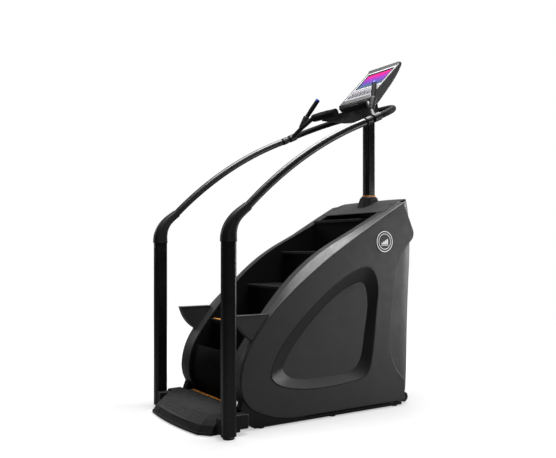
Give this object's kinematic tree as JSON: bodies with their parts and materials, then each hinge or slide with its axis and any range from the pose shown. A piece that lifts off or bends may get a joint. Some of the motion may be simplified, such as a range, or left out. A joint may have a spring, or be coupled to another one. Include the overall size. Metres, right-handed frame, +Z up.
{
  "type": "stair climber",
  "caption": "Gym stair climber: revolving flight of steps between side covers, entry platform, arched handrails, upright hand sticks and a tilting console on a mast.",
  "frame": {"origin": "centre of the machine's outline on the floor", "axes": "+Z up, +Y forward in the direction the user faces, +X to the user's right"},
  "size_m": [0.915, 1.5561, 2.1576],
  "materials": {
    "frame_black": "satin black powder coat",
    "cover_black": "fine-textured black",
    "recess_gloss": "gloss black",
    "recess_matte": "satin dark grey",
    "rail_metal": "brushed dark aluminium",
    "bar_rubber": "textured rubber coat",
    "trim_black": "moulded black",
    "deck_mat": "ribbed",
    "tread_black": "dotted anti-slip",
    "accent_orange": "satin",
    "badge_white": "printed ring",
    "cap_blue": "gloss",
    "bezel_silver": "silver paint",
    "screen_glass": "display",
    "keypad_grey": "membrane",
    "key_dark": "moulded",
    "button_blue": "gloss",
    "steel": "bare",
    "screw_steel": "blackened",
    "tyre": "moulded",
    "cast": "painted",
    "alu": "machined"
  },
  "bodies": {
    "frame": {"accessory_tray": "trim_black", "badges": "badge_white", "bar_collars": "trim_black", "base_frame": "frame_black", "branches": "trim_black", "console_yoke": "frame_black", "control_box": "frame_black", "drive_belt": "tyre", "drive_motor": "cast", "front_bar": "bar_rubber", "grips": "bar_rubber", "handrails": "rail_metal", "inner_covers": "cover_black", "kick_plate": "trim_black", "knuckle_screws": "screw_steel", "knuckles": "trim_black", "levelling_feet": "tyre", "mast": "frame_black", "mast_boot": "trim_black", "mast_ring": "accent_orange", "outer_cover_left": "cover_black", "outer_cover_right": "cover_black", "platform_front_panel": "trim_black", "platform_mat": "deck_mat", "platform_shell": "trim_black", "platform_strip": "accent_orange", "post_brackets": "trim_black", "post_pads": "tyre", "posts": "frame_black", "rear_cover": "cover_black", "recess_bezels": "recess_gloss", "recess_panels": "recess_matte", "sensor_plates": "rail_metal", "shaft_bearings": "cast", "step_chains": "steel", "step_wings": "cover_black", "stick_caps": "cap_blue", "sticks": "bar_rubber", "top_cover": "cover_black", "wing_caps": "tyre"},
    "stairs": {"treads": "tread_black", "risers": "trim_black", "tread_strips": "accent_orange", "step_carriers": "steel"},
    "return_flight": {"return_steps": "tread_black"},
    "lower_shaft": {"lower_shaft": "steel"},
    "upper_shaft": {"upper_shaft": "steel"},
    "motor_pulley": {"motor_pulley": "alu"},
    "console": {"console_housing": "cover_black", "console_bezel": "bezel_silver", "console_screen": "screen_glass", "keypad_panel": "keypad_grey"},
    "slower_key": {"slower_key": "key_dark"},
    "faster_key": {"faster_key": "key_dark"},
    "start_key": {"start_key": "key_dark"},
    "stop_key": {"stop_key": "key_dark"},
    "thumb_button_left": {"thumb_button_left": "button_blue"},
    "thumb_button_right": {"thumb_button_right": "button_blue"},
    "transport_wheel_left": {"transport_wheel_left": "tyre"},
    "transport_wheel_right": {"transport_wheel_right": "tyre"}
  },
  "joints": [
    {"name": "stair_travel", "type": "slide", "parent": "frame", "child": "stairs", "axis": [0, -0.7869, -0.6171], "range_m": [0, 0.08]},
    {"name": "return_travel", "type": "slide", "parent": "frame", "child": "return_flight", "axis": [0, 0.7869, 0.6171], "range_m": [0, 0.081]},
    {"name": "lower_shaft_turn", "type": "hinge", "parent": "frame", "child": "lower_shaft", "pos_m": [0, -0.37229, 0.22266], "axis": [1, 0, 0], "range_deg": [0, 62]},
    {"name": "upper_shaft_turn", "type": "hinge", "parent": "frame", "child": "upper_shaft", "pos_m": [0, 0.58981, 0.97725], "axis": [1, 0, 0], "range_deg": [0, 62]},
    {"name": "motor_turn", "type": "hinge", "parent": "frame", "child": "motor_pulley", "pos_m": [0, 0.427, 0.19], "axis": [1, 0, 0], "range_deg": [0, 136]},
    {"name": "console_tilt", "type": "hinge", "parent": "frame", "child": "console", "pos_m": [0, 0.628, 1.88], "axis": [1, 0, 0], "range_deg": [-8, 4]},
    {"name": "slower_key_press", "type": "slide", "parent": "console", "child": "slower_key", "axis": [0, 0.7071, -0.7071], "range_m": [0, 0.0012], "stiffness_N_per_m": 900},
    {"name": "faster_key_press", "type": "slide", "parent": "console", "child": "faster_key", "axis": [0, 0.7071, -0.7071], "range_m": [0, 0.0012], "stiffness_N_per_m": 900},
    {"name": "start_key_press", "type": "slide", "parent": "console", "child": "start_key", "axis": [0, 0.7071, -0.7071], "range_m": [0, 0.0012], "stiffness_N_per_m": 900},
    {"name": "stop_key_press", "type": "slide", "parent": "console", "child": "stop_key", "axis": [0, 0.7071, -0.7071], "range_m": [0, 0.0012], "stiffness_N_per_m": 900},
    {"name": "thumb_button_right_press", "type": "slide", "parent": "frame", "child": "thumb_button_right", "axis": [0.3961, -0.4042, -0.8245], "range_m": [0, 0.0018], "stiffness_N_per_m": 700},
    {"name": "thumb_button_left_press", "type": "slide", "parent": "frame", "child": "thumb_button_left", "axis": [-0.3961, -0.4042, -0.8245], "range_m": [0, 0.0018], "stiffness_N_per_m": 700},
    {"name": "transport_wheel_right_turn", "type": "hinge", "parent": "frame", "child": "transport_wheel_right", "pos_m": [0.301, 0.646, 0.036], "axis": [1, 0, 0], "continuous": true},
    {"name": "transport_wheel_left_turn", "type": "hinge", "parent": "frame", "child": "transport_wheel_left", "pos_m": [-0.301, 0.646, 0.036], "axis": [1, 0, 0], "continuous": true}
  ],
  "couplings": [
    {"joint": "return_travel", "follows": "stair_travel", "ratio": 1},
    {"joint": "lower_shaft_turn", "follows": "stair_travel", "rad_per_m": 13.333},
    {"joint": "upper_shaft_turn", "follows": "stair_travel", "rad_per_m": 13.333},
    {"joint": "motor_turn", "follows": "stair_travel", "rad_per_m": 29.333}
  ]
}
